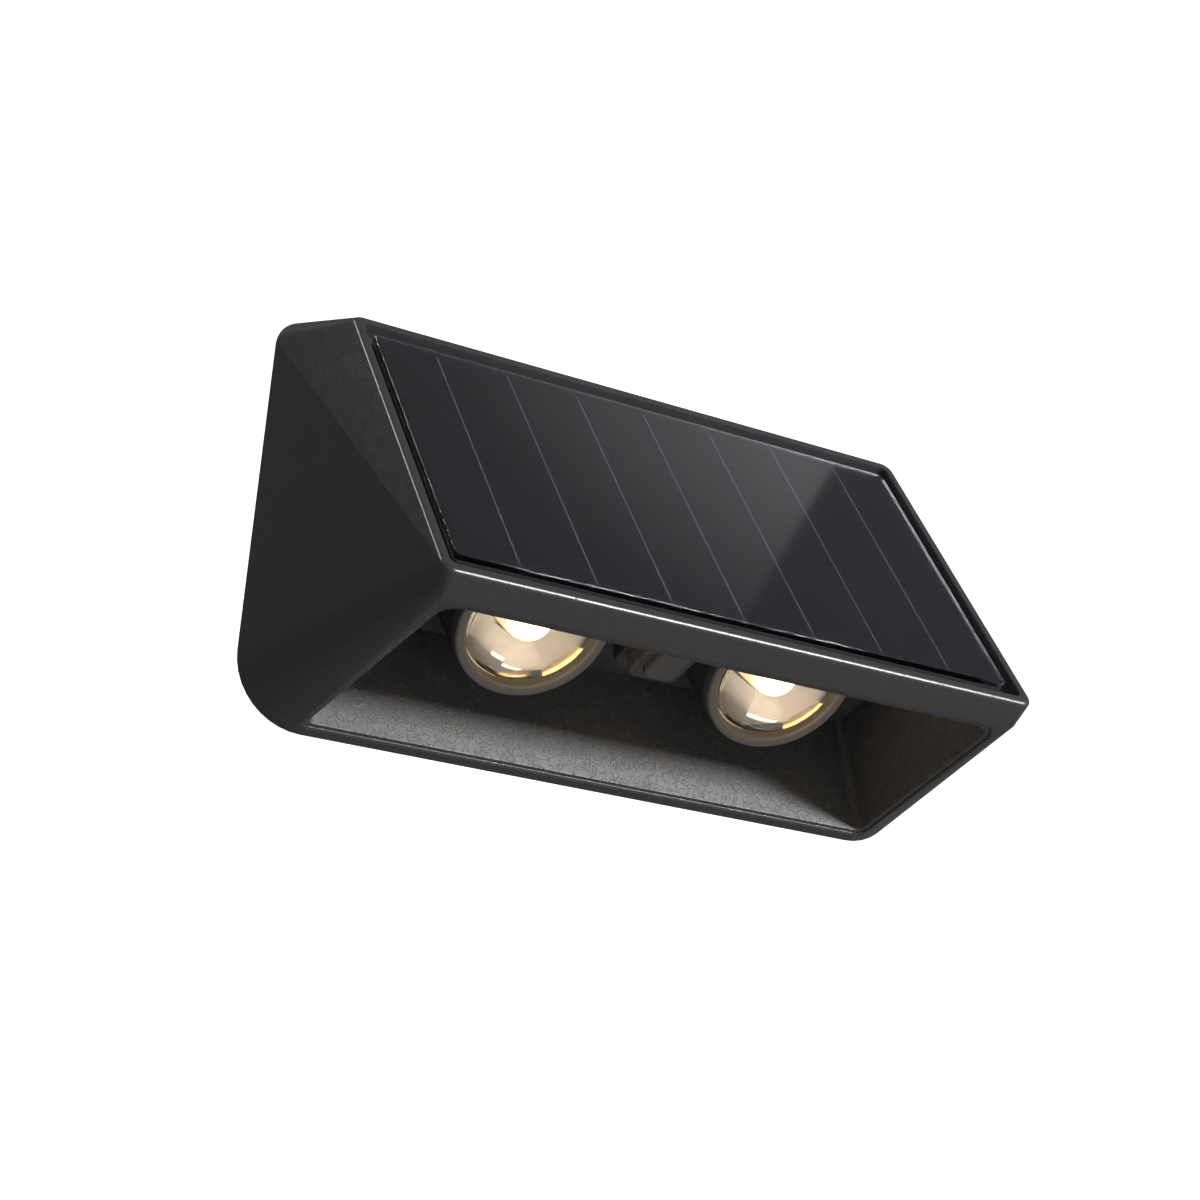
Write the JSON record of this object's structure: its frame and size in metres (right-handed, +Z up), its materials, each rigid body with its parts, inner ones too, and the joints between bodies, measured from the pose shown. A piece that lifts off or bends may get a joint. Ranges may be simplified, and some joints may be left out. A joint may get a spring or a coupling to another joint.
{
  "type": "solar wall light",
  "caption": "Wedge-shaped solar wall light with a sloping solar panel in front, domed lamps in a chamber that opens downwards and a push button between them.",
  "frame": {"origin": "on the wall plane, midway between the two hanging holes in the rear cover", "axes": "+X along the wall, +Y into the wall, +Z up; the panel and the chamber face -Y and -Z"},
  "size_m": [0.2008, 0.079, 0.113],
  "materials": {
    "housing_plastic": "moulded black plastic with a fine leathery grain",
    "chamber_plastic": "moulded black plastic with a fine leathery grain",
    "cover_plastic": "moulded black plastic, plain",
    "screw_steel": "zinc-plated steel",
    "silicone": "black silicone",
    "clear_silicone": "translucent silicone",
    "foam_tape": "black foam tape",
    "panel_glass": "dark glossy cover glass",
    "cell_silicon": "dark blue-black silicon strips",
    "ribbon_metal": "thin tinned ribbon",
    "panel_backing": "black circuit board",
    "lens_clear": "clear polished polycarbonate",
    "bezel_plastic": "satin grey plastic",
    "reflector_metal": "metallised plastic",
    "led_board_metal": "aluminium-core circuit board",
    "led_phosphor": "warm white light source",
    "button_plastic": "satin black plastic",
    "switch_plastic": "black moulded plastic",
    "plunger_plastic": "white moulded plastic",
    "board_green": "green circuit board",
    "chip_plastic": "black epoxy package",
    "ferrite": "dark ferrite core",
    "capacitor_can": "aluminium can",
    "connector_plastic": "ivory nylon",
    "battery_wrap": "shrink-wrapped steel cell",
    "tray_plastic": "black moulded plastic",
    "contact_metal": "plated spring metal",
    "lead_red": "red wire insulation",
    "lead_white": "white wire insulation",
    "lead_yellow": "yellow wire insulation"
  },
  "bodies": {
    "fixture": {"housing": "housing_plastic", "lamp_chamber": "chamber_plastic", "chamber_seal": "silicone", "chamber_screws": "screw_steel", "rear_cover": "cover_plastic", "rear_gasket": "silicone", "cover_screws": "screw_steel", "panel_glass": "panel_glass", "panel_cells": "cell_silicon", "panel_ribbons": "ribbon_metal", "panel_board": "panel_backing", "panel_tape": "foam_tape", "lens_left": "lens_clear", "lens_right": "lens_clear", "bezel_left": "bezel_plastic", "bezel_right": "bezel_plastic", "lens_gasket_left": "clear_silicone", "lens_gasket_right": "clear_silicone", "reflector_left": "reflector_metal", "reflector_right": "reflector_metal", "led_board_left": "led_board_metal", "led_board_right": "led_board_metal", "led_chip_left": "led_phosphor", "led_chip_right": "led_phosphor", "led_screws": "screw_steel", "switch_body": "switch_plastic", "switch_board": "board_green", "switch_screws": "screw_steel", "main_board": "board_green", "charge_chip": "chip_plastic", "inductor": "ferrite", "capacitors": "capacitor_can", "connectors": "connector_plastic", "board_screws": "screw_steel", "battery_cell": "battery_wrap", "battery_tray": "tray_plastic", "battery_contacts": "contact_metal", "tray_screws": "screw_steel", "solar_lead": "lead_red", "battery_leads": "lead_red", "lamp_lead_left": "lead_white", "lamp_lead_right": "lead_white", "switch_lead": "lead_yellow"},
    "button": {"button_cap": "button_plastic", "switch_plunger": "plunger_plastic"}
  },
  "joints": [
    {"name": "button_press", "type": "slide", "parent": "fixture", "child": "button", "axis": [0, 0.225, 0.9744], "range_m": [0, 0.001], "stiffness_N_per_m": 1200, "springref_m": -0.0005}
  ]
}
